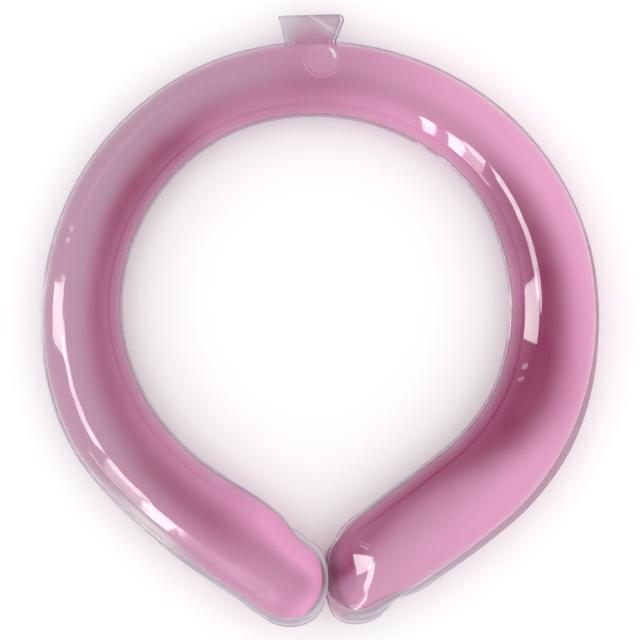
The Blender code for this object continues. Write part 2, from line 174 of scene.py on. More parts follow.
# Soft steps, each by where it starts from nothing, where it is full, and its full amount
STEPS = {
    # bearings either way from the nape, in degrees, also for the painted light at the tips
    "tips": (150, 165, 0.4),
    "left tip": (155, 170, 1),
    "left nose": (158, 167, 0.5),
    "right nose": (160, 168, 1),
    # shares of a nose's direction to the left or the right
    "turned left": (-0.1, 0.6, 1),
    "turned right": (0, 0.7, 1),
    "half turned right": (-0.3, 0.8, 1),
    # places across the tube, from -1 to 1 towards the outer edge, or the inner one, also where the gel's
    # painted light and glow step up
    "mound": (0.5, 0.9, 1),
    "haze": (-0.6, 0.05, 1),
    "glow": (-0.55, 0.45, 1),
    "inner glow": (0.1, 0.8, 1),
    "outer wall": (0.9, 1, 0.5),
    # metres along the ring from the tab's middle, and metres of lip
    "past the tab": (0.0072, 0.0095, 1),
    "grooved": (0, 0.001, 1),
    # shares of the room for empty film, of the lip and of the half width, the last for the left tip's painted
    # glow
    "empty film": (-0.2, 0.4, 1),
    "lip's edge": (0.8, 1, 1),
    "tip's rim": (0.3, 0.95, 1),
    # distances from the dimple's middle and heights over the floor, in its radii, also where painted light
    # fills it
    "dimple's wall": (0.4, 1, 1),
    "dimple's look": (0.75, 1, 1),
    "upper side": (2, 3, 1),
    # how much a way from its middle points down, or to the upper right, for its painted highlights
    "below it": (0, 0.8, 1),
    "upper right of it": (0.75, 0.98, 1),
    # places across the tab, from -1 on its left to 1, and shares of its length, also for its painted
    # highlights
    "tab's right side": (0.3, 1, 1),
    "tab's right look": (0, 0.5, 1),
    "tab's rose film": (-0.9, -0.3, 0.55),
    "tab's upper part": (0.45, 0.85, 1),
    "tab's streak": (0.35, 0.6, 0.35),
    "tab's corner": (0.45, 0.95, 0.3),
    "tab's grey film": (0.25, 0.8, 1),
}

# Soft hills, each by its middle, its half width and its height
HILLS = {
    # bearings from the nape in degrees, and places across the tube, for the painted sheen and painted streak
    "sheen by bearing": (-140, 13, 1),
    "sheen by place": (0.78, 0.15, 1),
    "streak by bearing": (-52, 22, 1),
    "streak by place": (0.42, 0.06, 0.25),
    # shares of the lip, for its bright line and nose rim of painted light, and the turn round its edge
    "line on the lip": (0.65, 0.15, 1),
    "bright nose rim": (0.2, 0.4, 1),
    "groove": (0, 0.35, 1),
    # distances from the dimple's middle in its radii, for its rim and its painted highlights
    "dimple's rim": (1.05, 0.12, 1),
    "line round the dimple": (1.06, 0.06, 0.6),
    "glint in the dimple": (0.74, 0.13, 1),
    # shares of the tab's length, for its end counted from there
    "tab's waist": (0.22, 0.15, 1),
    "tab's end": (0, 0.06, 0.8),
    # distances from the tab's sides in widths of its rim, for its grey lines and its painted bright line
    "tab's side line": (0.1, 0.25, 1),
    "tab's inner line": (1.5, 0.3, 0.7),
    "tab's bright line": (0.8, 0.3, 0.35),
}


def straight(rows, name, bearing):
    """A table's value at bearings in radians, straight from row to row."""
    return np.interp(bearing, rows["bearing"], rows[name])


def curved(rows, name, bearing):
    """A table's value at bearings in radians, on the cubic curve through its rows whose slope at each row is
    that of the line between the row's two neighbours."""
    at, value = rows["bearing"], rows[name]
    slope = np.gradient(value, at)
    row = np.clip(np.searchsorted(at, bearing) - 1, 0, len(at) - 2)
    step = at[row + 1] - at[row]
    t = (bearing - at[row]) / step
    rest = 1 - t
    return (
        (1 + 2 * t) * rest**2 * value[row]
        + t * rest**2 * step * slope[row]
        + t**2 * (3 - 2 * t) * value[row + 1]
        - t**2 * rest * step * slope[row + 1]
    )


def ease(low, high, value):
    """0 below low, 1 above high, and 3t² - 2t³ of the share t between them."""
    t = np.clip((value - low) / (high - low), 0, 1)
    return t * t * (3 - 2 * t)


def hill(distance):
    """A smooth hill of height 1: e to the power of minus the distance squared."""
    return np.exp(-(distance**2))


def soft_step(name, value):
    low, high, amount = STEPS[name]
    return amount * ease(low, high, value)


def soft_hill(name, value):
    middle, half_width, height = HILLS[name]
    return height * hill((value - middle) / half_width)


def length(default, text):
    """A length in metres."""
    return bpy.props.FloatProperty(description=text, default=default, unit="LENGTH", precision=5)


def angle(default, text):
    """An angle, given in degrees."""
    kind = {"subtype": "ANGLE", "unit": "ROTATION"}
    return bpy.props.FloatProperty(description=text, default=math.radians(default), **kind)


def plain(default, text):
    """A plain number."""
    return bpy.props.FloatProperty(description=text, default=default, precision=3)


def count(default, text):
    """A whole number."""
    return bpy.props.IntProperty(description=text, default=default, min=1)


def colour(default, text):
    """A colour as it looks on a screen."""
    kind = {"subtype": "COLOR_GAMMA", "size": 3, "min": 0, "max": 1}
    return bpy.props.FloatVectorProperty(description=text, default=default, **kind)


class TubeSizes(bpy.types.PropertyGroup):
    """Sizes of the ring and the tube, the same as the solid part's."""

    ring_radius: length(0.0772, "From the ring's middle to the tube's spine")
    tube_width: length(0.03, "The widest section, without its lips")
    tube_height: length(0.027, "The highest section")
    rest_flat: plain(0.05, "Share of the half height pressed flat below")
    lean: plain(0.10, "Outwards lean of the crest, by the half width")
    lip_width: length(0.0025, "The widest plain lip")
    lip_thickness: length(0.0013, "Both films of the weld lip together")
    weld_fillet: length(0.0007, "Radius between the tube's wall and its lip")
    seam_groove: length(0.00018, "Depth of the groove round the lip's edge")
    gel_gap: length(0.0005, "Between the skin's outside and the gel")
    tip_overlap: length(0.0104, "How far the left tip's lip passes over the right tip's")
    tip_meeting: length(0.0008, "Overlap's middle, to the right of the ring's")
    tip_gap: length(0.0005, "Between the tips where they lie on each other")
    tip_slant: angle(45, "Slant of the contact face from upright")
    tip_height: length(0.0119, "Height of the contact face where the tips meet")
    tip_softness: plain(4, "A higher power makes a harder contact edge")
    tip_zone: length(0.045, "From the meeting, as far as a tip gives way")
    tip_ease: length(0.0008, "Extra room between film and gel behind the contact face")
    nose_lip: length(0.0026, "Width of the lip round each tip's nose")
    nose_pocket: length(0.0012, "Extra room for the gel at the left nose")
    spine_steps: count(360, "Sections along the tube")
    fine_zone: angle(5.6, "Bearings of the close sections, for the dimple")
    fine_steps: count(64, "Sections in the fine zone")
    nose_steps: count(36, "Directions round each tip's nose")
    upper_steps: count(44, "Rows from the weld seam to the upper crest")
    lower_steps: count(20, "Rows from the seam to the lower crest")
    fillet_steps: count(3, "Rows round the weld fillet")
    flat_steps: count(5, "Rows over the lip's flat")
    edge_steps: count(6, "Rows round the lip's edge")


class TabSizes(bpy.types.PropertyGroup):
    """Sizes of the filling tab, its channel, the gel in it and the round dimple near it."""

    bearing: angle(-1.7, "From the nape, positive to the right")
    reach: length(0.0083, "Beyond the ring's edge")
    end_width: length(0.0212, "Width of the flared end")
    neck_width: length(0.0168, "Width where the tab leaves the ring")
    flare: plain(1.5, "A higher power starts the flare later")
    waist: length(0.0008, "How far the right side is drawn in near the ring")
    spread: length(0.0006, "How far the right corner stands out")
    corner: length(0.0024, "Corner radius on the right of the tab's end")
    film: length(0.0011, "Thickness of the flat tab")
    channel_width: length(0.013, "Width of the filling channel at the ring")
    channel_height: length(0.006, "Height of the filling channel at the ring")
    channel_reach: plain(0.87, "Share of the tab's length with the channel")
    rim_width: length(0.001, "Width of the rolled rim along the tab's sides")
    rim_rise: length(0.0004, "Height of the rolled rim on each face")
    gel_reach: length(0.0044, "How far the gel rises into the channel")
    gel_width: length(0.009, "Width of the gel's mound in the channel")
    gel_height: length(0.003, "Height of the gel's mound in the channel")
    dimple_x: length(0.0007, "Dimple's middle, to the right")
    dimple_y: length(0.0832, "Dimple's middle, towards the nape")
    dimple_radius: length(0.0056, "Radius of the dimple")
    dimple_depth: length(0.0016, "Depth of the dimple in the film")
    dimple_rim: length(0.0004, "Height of the rim round the dimple")
    steps_across: count(72, "Facets across the tab")
    steps_along: count(40, "Facets along the tab")


class Finishes(bpy.types.PropertyGroup):
    """Colours of the gel and the film."""

    gel: colour((0.73, 0.50, 0.62), "Plain pink of the gel")
    # Painted shade and painted light: the dark band, the lit side towards the window and the far side's glow
    gel_painted_shade: colour((0.53, 0.09, 0.325), "Where the gel looks deepest")
    gel_painted_lit_side: colour((0.69, 0.56, 0.63), "On the side of the window")
    gel_painted_glow: colour((0.895, 0.65, 0.785), "On the side away from the window")
    film: colour((0.70, 0.68, 0.71), "Grey of the empty film and its lip")
    film_rose: colour((0.74, 0.55, 0.65), "Empty film that carries the gel's colour")
    # White of the painted highlights: the bright lines, the sheen, the streaks and the glint
    film_painted_highlight_tone: colour((0.96, 0.93, 0.95), "Bright lines in the film")
    film_edge: colour((0.50, 0.46, 0.50), "Grey of the lip's edge")
    film_clear: colour((0.99, 0.97, 0.985), "Tint of the film over the gel")


class StageSettings(bpy.types.PropertyGroup):
    """Floor, camera and lights."""

    floor_size: length(6.0, "Width of the floor")
    floor: colour((0.97, 0.97, 0.97), "Pale floor")
    camera_height: length(1.1, "Height of the camera over the ring")
    view_width: length(0.2048, "Width of the picture at the seam's height")
    sky: plain(1.2, "Strength of the soft light from all round")


def tube_of(context):
    return context.scene.tube_sizes


def tab_of(context):
    return context.scene.tab_sizes


def section(name, bearing):
    return curved(SECTIONS, name, bearing)


def spine(sizes, bearing):
    """Points of the tube's spine from above: the ring's radius times the section's reach, at the bearing."""
    reach = sizes.ring_radius * section("reach", bearing)
    return np.stack([reach * np.sin(bearing), reach * np.cos(bearing)], axis=-1)


def half_height(sizes, bearing):
    return sizes.tube_height / 2 * section("height", bearing)


def seam_height(sizes, bearing):
    """Height of the weld seam: the tube's half height, less what the surface presses flat, and its lift."""
    lift = sizes.tube_height * section("lift", bearing)
    return half_height(sizes, bearing) * (1 - sizes.rest_flat) + lift


NOSE_FROM = math.radians(150)  # each spine ends between this bearing and the front
HALVINGS = 40  # of the search for each spine's end


def nose_bearing(sizes, side):
    """Where the spine ends, on the left (-1) or right (1), so that the tips' lips overlap as they should."""
    low, high = NOSE_FROM, math.pi
    for _ in range(HALVINGS):
        middle = (low + high) / 2
        at = np.array([side * middle])
        mean_width = (section("outer", at) + section("inner", at))[0] / 2
        reach = mean_width * sizes.tube_width / 2 + sizes.nose_lip - sizes.tip_overlap / 2
        if side * (spine(sizes, at)[0, 0] - sizes.tip_meeting) > reach:
            low = middle
        else:
            high = middle
    return side * high


class Loop:
    """Closed loop of directions with their half width, lip and gel inset: along the tube's outer side, round
    the right tip's nose, back along the inner side and round the left nose. Round a nose the direction makes
    half a turn, the half width goes from the outer to the inner one by the cosine of the turn, and the lip
    grows by the root of its sine."""

    def __init__(self, sizes):
        self.sizes = sizes
        left, right = nose_bearing(sizes, -1), nose_bearing(sizes, 1)
        at = np.linspace(left, right, sizes.spine_steps + 1)
        fine = np.linspace(-sizes.fine_zone, sizes.fine_zone, sizes.fine_steps + 1)
        at = np.unique(np.concatenate([at[abs(at) > sizes.fine_zone + fine[1] - fine[0]], fine]))
        points = spine(sizes, at)
        along = np.gradient(points, at, axis=0)
        along /= np.linalg.norm(along, axis=1)[:, None]
        outward = np.stack([-along[:, 1], along[:, 0]], axis=1)
        turn = np.linspace(0, math.pi, sizes.nose_steps + 2)[1:-1]
        order = np.arange(len(at))
        half = sizes.tube_width / 2

        def measures(name, bearing):
            return (
                half * section(name, bearing),
                sizes.lip_width * straight(LIPS, name, bearing),
                sizes.gel_gap * straight(INSETS, name, bearing),
            )

        def side(way, sign, name):
            return way, sign * outward[way], *measures(name, at[way])

        def nose(index, sign, turns):
            cosine, sine = np.cos(turns), np.sin(turns)
            share = (1 - cosine) / 2
            facing = np.outer(cosine, outward[index]) + sign * np.outer(sine, along[index])
            outer, inner = (measures(name, at[[index]]) for name in ("outer", "inner"))
            edge = np.where(turns < math.pi / 2, outer[1], inner[1])
            lip = edge + (sizes.nose_lip - edge) * np.sqrt(sine)
            pocket = sizes.nose_pocket * sine**2 * (sign < 0)
            width, inset = (outer[k] + (inner[k] - outer[k]) * share for k in (0, 2))
            return np.full(len(turns), order[index]), facing, width, lip, inset + pocket

        there, back = side(order, 1, "outer"), side(order[::-1], -1, "inner")
        parts = zip(there, nose(-1, 1, turn), back, nose(0, -1, turn[::-1]))
        self.run, self.facing, self.width, lip, self.inset = (np.concatenate(part) for part in parts)
        self.lip = np.maximum(lip, sizes.lip_thickness / 4)
        self.count = len(at)
        self.bearing = at[self.run]
        self.outward = outward[self.run]
        self.rise = half_height(sizes, self.bearing)
        self.centre = np.column_stack([points[self.run], seam_height(sizes, self.bearing)])

    def surface(self, reach, height, depth=0.0, ease_off=0.0):
        """Rows of points at these reaches from the spine and heights from the seam, both as rows by loop.
        They keep a depth above the surface that the tube lies on, and more off the face between the tips."""
        sizes = self.sizes
        points = np.broadcast_to(self.centre, (*reach.shape, 3)).copy()
        leaning = sizes.lean * self.width * np.clip(height / self.rise, 0, 1)
        points[..., :2] += self.facing * reach[..., None] + self.outward * leaning[..., None]
        points[..., 2] = np.maximum(points[..., 2] + height, depth)
        return self.keep_off_other_tip(points, depth + ease_off)

    def keep_off_other_tip(self, points, depth):
        """Draws the tips' points towards their spine points where they would pass the slanted face between
        the tips. A point keeps (1 + asked^n)^(-1/n) of its way, where asked is its way towards the face as a
        share of the room there."""
        sizes = self.sizes
        side = np.sign(self.bearing)
        normal = np.array([math.cos(sizes.tip_slant), 0, -math.sin(sizes.tip_slant)])
        meeting = np.array([sizes.tip_meeting, 0, sizes.tip_height])
        near = (self.centre[:, 1] < 0) & (abs(self.centre[:, 0] - sizes.tip_meeting) < sizes.tip_zone)
        room = side * ((self.centre - meeting) @ normal) - sizes.tip_gap / 2 - depth
        wanted = np.maximum(-side * ((points - self.centre) @ normal), 0)
        asked = np.where(near, wanted / np.where(near, room, 1), 0)
        keep = (1 + asked**sizes.tip_softness) ** (-1 / sizes.tip_softness)
        return self.centre + (points - self.centre) * keep[..., None]

    def across(self, reach):
        """Place across the tube, from -1 at its inner edge to 1 at its outer edge, by the direction's outward
        share."""
        outward = np.einsum("ij,ij->i", self.facing, self.outward)
        return reach / self.width * outward

    def settle(self):
        """What moves the ring's middle into the part's frame: the lips touch the CAD films' box on the left,
        the right and in front."""
        rim = self.surface((self.width + self.lip)[None], np.zeros((1, len(self.width))))[0]
        low, high = rim.min(axis=0), rim.max(axis=0)
        box_low, box_high = FILM_BOX
        return np.array([(box_low[0] + box_high[0] - low[0] - high[0]) / 2, box_low[1] - low[1], 0])


def closed_grid(loop, rows):
    """Points and faces over rows of a loop. The first and last rows are crests, where the loop's two sides
    are welded."""
    count, size = rows.shape[:2]
    first = np.unique(loop.run, return_index=True)[1]
    inner = np.arange((count - 2) * size).reshape(count - 2, size) + loop.count
    index = np.concatenate([loop.run[None], inner, loop.run[None] + inner[-1, -1] + 1])
    points = np.concatenate([rows[0][first], rows[1:-1].reshape(-1, 3), rows[-1][first]])
    after = np.roll(index, -1, axis=1)
    quads = np.stack([index[:-1], after[:-1], after[1:], index[1:]], axis=-1).reshape(-1, 4)
    return points, [list(dict.fromkeys(quad)) for quad in quads.tolist()]


def welded(loop, looks):
    """Looks for each point of closed_grid, from their values on every row and place."""
    first = np.unique(loop.run, return_index=True)[1]
    return {
        name: np.concatenate([rows[0][first], rows[1:-1].ravel(), rows[-1][first]])
        for name, rows in looks.items()
    }


def linked(name, data):
    """A new object in the scene, at the origin."""
    obj = bpy.data.objects.new(name, data)
    bpy.context.scene.collection.objects.link(obj)
    return obj


def make_piece(name, points, faces, material, nodes, slot):
    """A piece with these points and faces, in place of CAD nodes."""
    mesh = bpy.data.meshes.new(name)
    mesh.from_pydata(points, [], faces)
    mesh.materials.append(material)
    mesh.shade_smooth()
    mesh.update()
    obj = linked(name, mesh)
    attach(obj, "root")
    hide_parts(*nodes)
    return obj


class Shader:
    """The nodes of a material or world."""

    def __init__(self, owner):
        owner.use_nodes = True
        self.owner, self.tree = owner, owner.node_tree
        self.tree.nodes.clear()

    def done(self, surface, output="ShaderNodeOutputMaterial"):
        """The material or world, with this surface."""
        self.node(output, Surface=surface)
        return self.owner

    def node(self, kind, settings=(), **sockets):
        """A node with these settings and values or links of its sockets. A socket's name has _ for a space,
        and _ and a number stand for its place."""
        made = self.tree.nodes.new(kind)
        for key, value in dict(settings).items():
            setattr(made, key, value)
        for key, value in sockets.items():
            socket = made.inputs[int(key[1:])] if key[1:].isdigit() else made.inputs[key.replace("_", " ")]
            if isinstance(value, Wire):
                self.tree.links.new(value.socket, socket)
            else:
                socket.default_value = value
        return made

    def value(self, kind, output=0, settings=(), **sockets):
        return Wire(self, self.node(kind, settings, **sockets).outputs[output])

    def attribute(self, name):
        return self.value("ShaderNodeAttribute", "Fac", {"attribute_name": name})

    def mix(self, share, first, second):
        """A colour between two colours."""
        settings = {"data_type": "RGBA", "clamp_factor": True}
        return self.value("ShaderNodeMix", 2, settings, _0=share, _6=first, _7=second)

    def place(self):
        """The three coordinates in the object's own space, which is the ring's."""
        parts = self.node("ShaderNodeSeparateXYZ", Vector=self.value("ShaderNodeTexCoord", "Object"))
        return [Wire(self, part) for part in parts.outputs]

    def noise(self, scale):
        place = self.value("ShaderNodeTexCoord", "Object")
        return self.value("ShaderNodeTexNoise", Vector=place, Scale=scale)


def arithmetic(operation, swapped=False):
    """A method that adds one Math node to a wire and gives the new wire."""

    def combine(wire, other):
        first, second = (other, wire) if swapped else (wire, other)
        return wire.shader.value("ShaderNodeMath", 0, {"operation": operation}, _0=first, _1=second)

    return combine


class Wire:
    """A value between nodes. Arithmetic on it adds Math nodes."""

    __add__ = __radd__ = arithmetic("ADD")
    __mul__ = __rmul__ = arithmetic("MULTIPLY")
    __sub__, __rsub__ = arithmetic("SUBTRACT"), arithmetic("SUBTRACT", swapped=True)
    __pow__, __rpow__ = arithmetic("POWER"), arithmetic("POWER", swapped=True)
    __truediv__ = arithmetic("DIVIDE")

    def __init__(self, shader, socket):
        self.shader, self.socket = shader, socket

    def hill(self, name):
        """The soft hill of this name: its height times e to minus the distance squared."""
        middle, half_width, height = HILLS[name]
        distance = (self - middle) / half_width
        return height * math.e ** (0 - distance * distance)

    def step(self, name):
        """The soft step of this name, by a smooth Map Range."""
        low, high, amount = STEPS[name]
        settings = {"interpolation_type": "SMOOTHSTEP"}
        limits = {"From_Min": low, "From_Max": high, "To_Max": amount}
        return self.shader.value("ShaderNodeMapRange", 0, settings, Value=self, **limits)


# Fineness of the noises: clouds in the gel, wrinkles and unevenness of the film, grain of the floor
CLOUDS, WRINKLES, UNEVENNESS, GRAIN = 45, 60, 110, 900
CLOUDINESS = 0.3  # how much the clouds change the gel's painted dark band
WRINKLE_DEPTH = 0.0002
# Directions from the dimple's middle, to the right and to the nape: of the painted highlight line round it
# and of its painted glint
LINE_WAY = (-0.3, -0.95)
GLINT_WAY = (0.87, 0.5)
# In the dimple, how much painted light greys and brightens the gel, and the share of its painted dark taken
# off
DIMPLE_PAINTED_LIGHT, DIMPLE_PAINTED_GLOW, DIMPLE_PAINTED_SHADE_CUT = 0.35, 0.25, 0.7
# Share of the film's veil: plain, where it is empty, where it turns away, and in the painted glint
VEIL, VEIL_EMPTY, VEIL_AWAY, VEIL_GLINT = 0.02, 0.5, 0.6, 0.6
# Gloss of the film seen straight on, its roughness, and what mattness adds to the roughness and takes off
GLOSS_FACING, ROUGHNESS, MATT_ROUGHNESS, MATT_GLOSS = 0.04, 0.05, 0.15, 0.8


def linear(colour):
    """A colour as it looks on a screen, in the linear values that shaders take."""
    screen = np.array(colour, float)
    low = screen / 12.92
    high = ((screen + 0.055) / 1.055) ** 2.4
    return (*np.where(screen <= 0.04045, low, high).tolist(), 1)


class DimplePlace:
    """Where a shaded point lies from the dimple's middle, in the dimple's radii, and whether it is on the
    tube's upper side."""

    def __init__(self, shader, tab):
        x, y, z = shader.place()
        self.to_right = (x - tab.dimple_x) / tab.dimple_radius
        self.to_nape = (y - tab.dimple_y) / tab.dimple_radius
        self.distance = (self.to_right * self.to_right + self.to_nape * self.to_nape) ** 0.5
        self.upper = (z / tab.dimple_radius).step("upper side")

    def towards(self, right, nape):
        """How far the point lies along this direction."""
        return right * self.to_right + nape * self.to_nape


def gel_material(finishes, tab):
    """Pink gel with painted light and shade: by the values it keeps it goes to a painted greyer tone on the
    window's side, a painted glow away from it and a painted dark band, with slow clouds in the dark. In the
    dimple painted light makes it greyer and lighter, with a painted highlight as a bright line round the
    dimple's lower side."""
    shader = Shader(bpy.data.materials.new("tube_gel"))
    place = DimplePlace(shader, tab)
    # The bright line round the dimple's lower side is a painted highlight, and painted light fills its inside
    below = place.towards(*LINE_WAY).step("below it")
    line = place.distance.hill("line round the dimple") * below * place.upper
    inside = (1 - place.distance.step("dimple's look")) * place.upper
    # Painted light on the window's side and painted glow; the clouds vary the painted dark band
    haze = shader.attribute("haze") + DIMPLE_PAINTED_LIGHT * inside
    glow = shader.attribute("glow") + line + DIMPLE_PAINTED_GLOW * inside
    clouds = 1 - CLOUDINESS / 2 + CLOUDINESS * shader.noise(CLOUDS)
    dark = shader.attribute("dark") * clouds * (1 - DIMPLE_PAINTED_SHADE_CUT * inside)
    base = shader.mix(haze, linear(finishes.gel), linear(finishes.gel_painted_lit_side))
    base = shader.mix(glow, base, linear(finishes.gel_painted_glow))
    base = shader.mix(dark, base, linear(finishes.gel_painted_shade))
    surface = shader.value(
        "ShaderNodeBsdfPrincipled",
        Base_Color=base,
        Roughness=0.35,
        Specular_IOR_Level=0.0,
        Subsurface_Weight=0.2,
        Subsurface_Radius=(1.0, 0.45, 0.65),
        Subsurface_Scale=0.003,
    )
    return shader.done(surface)


def film_material(finishes, tab):
    """Clear film with a thin veil, grey or rose where no gel lies behind it, white with painted highlights in
    lines, in the sheen and in the painted glint at the dimple's upper right. The veil thickens with the
    fourth power and the gloss with the fifth power of how much the film turns away. Wrinkles and a slow
    unevenness break up what it mirrors."""
    shader = Shader(bpy.data.materials.new("tube_film"))
    place = DimplePlace(shader, tab)
    # A painted glint at the dimple's upper right
    glint = (place.towards(*GLINT_WAY) / place.distance).step("upper right of it")
    glint = place.distance.hill("glint in the dimple") * glint * place.upper
    wrinkles = shader.noise(WRINKLES)
    bump = shader.value("ShaderNodeBump", Strength=1, Distance=WRINKLE_DEPTH, Height=wrinkles)
    tone = shader.mix(shader.attribute("rose"), linear(finishes.film), linear(finishes.film_rose))
    tone = shader.mix(shader.attribute("edge"), tone, linear(finishes.film_edge))
    # The film turns white for its painted highlights
    tone = shader.mix(shader.attribute("painted_highlights") + glint, tone, linear(finishes.film_painted_highlight_tone))
    veil = shader.value("ShaderNodeBsdfDiffuse", Color=tone, Normal=bump)
    clear = shader.value("ShaderNodeBsdfTransparent", Color=linear(finishes.film_clear))
    away = shader.value("ShaderNodeLayerWeight", "Facing", Blend=0.5, Normal=bump)
    share = VEIL + VEIL_EMPTY * shader.attribute("empty") + VEIL_AWAY * away**4 + VEIL_GLINT * glint
    film = shader.value("ShaderNodeMixShader", _0=share, _1=clear, _2=veil)
    matt = shader.attribute("matt")
    rough = ROUGHNESS + MATT_ROUGHNESS * matt
    mirror = shader.value("ShaderNodeBsdfAnisotropic", Color=(1, 1, 1, 1), Roughness=rough, Normal=bump)
    uneven = 0.5 + shader.noise(UNEVENNESS)
    gloss = (GLOSS_FACING + (1 - GLOSS_FACING) * away**5) * (1 - MATT_GLOSS * matt) * uneven
    surface = shader.value("ShaderNodeMixShader", _0=gloss, _1=film, _2=mirror)
    return shader.done(surface)


def floor_material(tone):
    shader = Shader(bpy.data.materials.new("pale_floor"))
    rough = 0.9 - 0.1 * shader.noise(GRAIN)
    surface = shader.value(
        "ShaderNodeBsdfPrincipled", Base_Color=linear(tone), Roughness=rough, Specular_IOR_Level=0.1
    )
    return shader.done(surface)


FILLET_SHARE = 0.6  # the most that the fillet takes of a narrow lip


def half_profile(loop, steps):
    """Reaches and heights of the skin's rows above the seam, from the crest outwards: a quarter ellipse, a
    fillet as a quadratic curve with its control point in the corner, the lip's flat, and its rounded edge
    with a groove."""
    sizes = loop.sizes
    thick = np.minimum(sizes.lip_thickness / 2, loop.lip)
    fillet = np.minimum(sizes.weld_fillet, (loop.lip - thick / 2) * FILLET_SHARE)
    foot = np.arcsin(np.clip((thick + fillet) / loop.rise, 0, 1))
    angles = foot + (math.pi / 2 - foot) * np.linspace(1, 0, steps + 1)[:, None]
    dome = loop.width * np.cos(angles), loop.rise * np.sin(angles)
    s = np.linspace(0, 1, sizes.fillet_steps + 1)[1:, None]
    fillet_curve = [
        (1 - s) ** 2 * start[-1] + 2 * s * (1 - s) * corner + s**2 * toe
        for start, corner, toe in zip(dome, (loop.width, thick), (loop.width + fillet, thick))
    ]
    share = np.linspace(0, 1, sizes.flat_steps + 2)[1:-1, None]
    flat = loop.width + fillet + share * (loop.lip - thick - fillet), thick + 0 * share
    turn = np.linspace(math.pi / 2, 0, sizes.edge_steps + 1)[:, None]
    groove = sizes.seam_groove * soft_hill("groove", turn) * soft_step("grooved", loop.lip)
    edge = loop.width + loop.lip - thick + thick * np.cos(turn) - groove, thick * np.sin(turn)
    return [np.concatenate(parts) for parts in zip(dome, fillet_curve, flat, edge)]


def skin_profile(loop):
    """Reaches and heights of the skin's rows, from the upper crest round the lip to the lower crest."""
    upper, lower = half_profile(loop, loop.sizes.upper_steps), half_profile(loop, loop.sizes.lower_steps)
    back = slice(-2, None, -1)
    return np.concatenate([upper[0], lower[0][back]]), np.concatenate([upper[1], -lower[1][back]])


def gel_profile(loop):
    """Reaches and heights of the gel's rows: an ellipse inside the skin's, from crest to crest."""
    sizes = loop.sizes
    quarter = math.pi / 2
    upper = np.linspace(quarter, 0, sizes.upper_steps + 1)
    lower = np.linspace(0, -quarter, sizes.lower_steps + 1)[1:]
    angles = np.concatenate([upper, lower])[:, None]
    return (loop.width - loop.inset) * np.cos(angles), (loop.rise - sizes.gel_gap) * np.sin(angles)


def dimpled(rows, height, tab, rim):
    """Rows with the round dimple pressed into their upper side, and a rim of this height raised round it. The
    depth is full in the middle and eases out at the dimple's radius, and the rim is a soft hill."""
    away = np.hypot(rows[..., 0] - tab.dimple_x, rows[..., 1] - tab.dimple_y)
    distance = away / tab.dimple_radius
    relief = rim * soft_hill("dimple's rim", distance)
    relief -= tab.dimple_depth * (1 - soft_step("dimple's wall", distance))
    pressed = rows.copy()
    pressed[..., 2] += relief * (height > 0)
    return pressed


def along_from_tab(loop, tab):
    """Distance along the ring from the tab's middle, positive to the right."""
    return (loop.bearing - tab.bearing) * loop.sizes.ring_radius


ROSE_VEIL = 0.4  # how much thicker the veil is where the empty film is rose
PAINTED_SHEEN_VEIL, PAINTED_SHEEN_WHITE = 1.1, 0.9  # painted highlight at the lower left: its veil and its white
LIP_PAINTED_LIGHT = 0.2  # painted light of the bright line along a lip that isn't rose
MOST_LOOK = 2  # the highest value that is kept for the film, where 1 is full


def skin_looks(loop, reach, height, tab):
    """What the film's material reads, for the skin's rows: where no gel lies behind it, where the lip's edge
    is, its painted highlights, and how rose and matt it is. The lip's bright line of painted light fades by
    the tab. The skin has painted highlights in the sheen and inside the left tip's rim too, and is rose at
    the right tip's inner side."""
    bearing = np.degrees(loop.bearing)
    to_right = loop.facing[:, 0]
    pocket = np.maximum(loop.inset - loop.sizes.gel_gap, 0)
    room = loop.inset + loop.sizes.gel_gap
    on_lip = (reach - loop.width) / loop.lip
    rose, matt = (straight(TONES, name, loop.bearing) for name in ("rose", "matt"))
    off_tab = soft_step("past the tab", abs(along_from_tab(loop, tab)))
    plain_lip = 1 - (1 - off_tab) * (loop.across(loop.width) > 0)
    right_nose = soft_step("right nose", bearing) * soft_step("turned left", -to_right)
    # The left nose's bright rim is a painted highlight
    left_nose = soft_step("left nose", -bearing) * soft_step("turned right", to_right)
    # The sheen is a painted highlight on the upper side at the lower left
    painted_sheen = soft_hill("sheen by bearing", bearing) * (height > 0)
    painted_sheen = painted_sheen * soft_hill("sheen by place", loop.across(reach))
    empty = soft_step("empty film", (reach - loop.width + pocket) / room)
    # The lip's bright line is painted light, stronger at the tips
    line = LIP_PAINTED_LIGHT * (1 - rose) + soft_step("tips", abs(bearing))
    return {
        "empty": (1 + ROSE_VEIL * rose) * plain_lip * empty + PAINTED_SHEEN_VEIL * painted_sheen,
        "edge": plain_lip * soft_step("lip's edge", on_lip),
        "painted_highlights": plain_lip * line * soft_hill("line on the lip", on_lip)
        + PAINTED_SHEEN_WHITE * painted_sheen
        + left_nose * soft_hill("bright nose rim", on_lip),
        "rose": np.maximum(rose, right_nose) + 0 * reach,
        "matt": matt + 0 * reach,
    }


def store_looks(obj, looks, most):
    """Keeps these values with the mesh, none under 0 or over the most."""
    for name, values in looks.items():
        kept = obj.data.attributes.new(name, "FLOAT", "POINT")
        kept.data.foreach_set("value", np.clip(values, 0, most).astype(np.float32))


class COOLING_OT_skin(bpy.types.Operator):
    """Build the clear skin: the two films' outside with its weld lip"""

    bl_idname = "cooling.skin"
    bl_label = "Clear skin"

    def execute(self, context):
        loop, tab = Loop(tube_of(context)), tab_of(context)
        reach, height = skin_profile(loop)
        rows = dimpled(loop.surface(reach, height) + loop.settle(), height, tab, tab.dimple_rim)
        film = film_material(context.scene.finishes, tab)
        nodes = ["upper_film", "lower_film"]
        skin = make_piece("clear_skin", *closed_grid(loop, rows), film, nodes, "clear_film")
        store_looks(skin, welded(loop, skin_looks(loop, reach, height, tab)), MOST_LOOK)
        return {"FINISHED"}


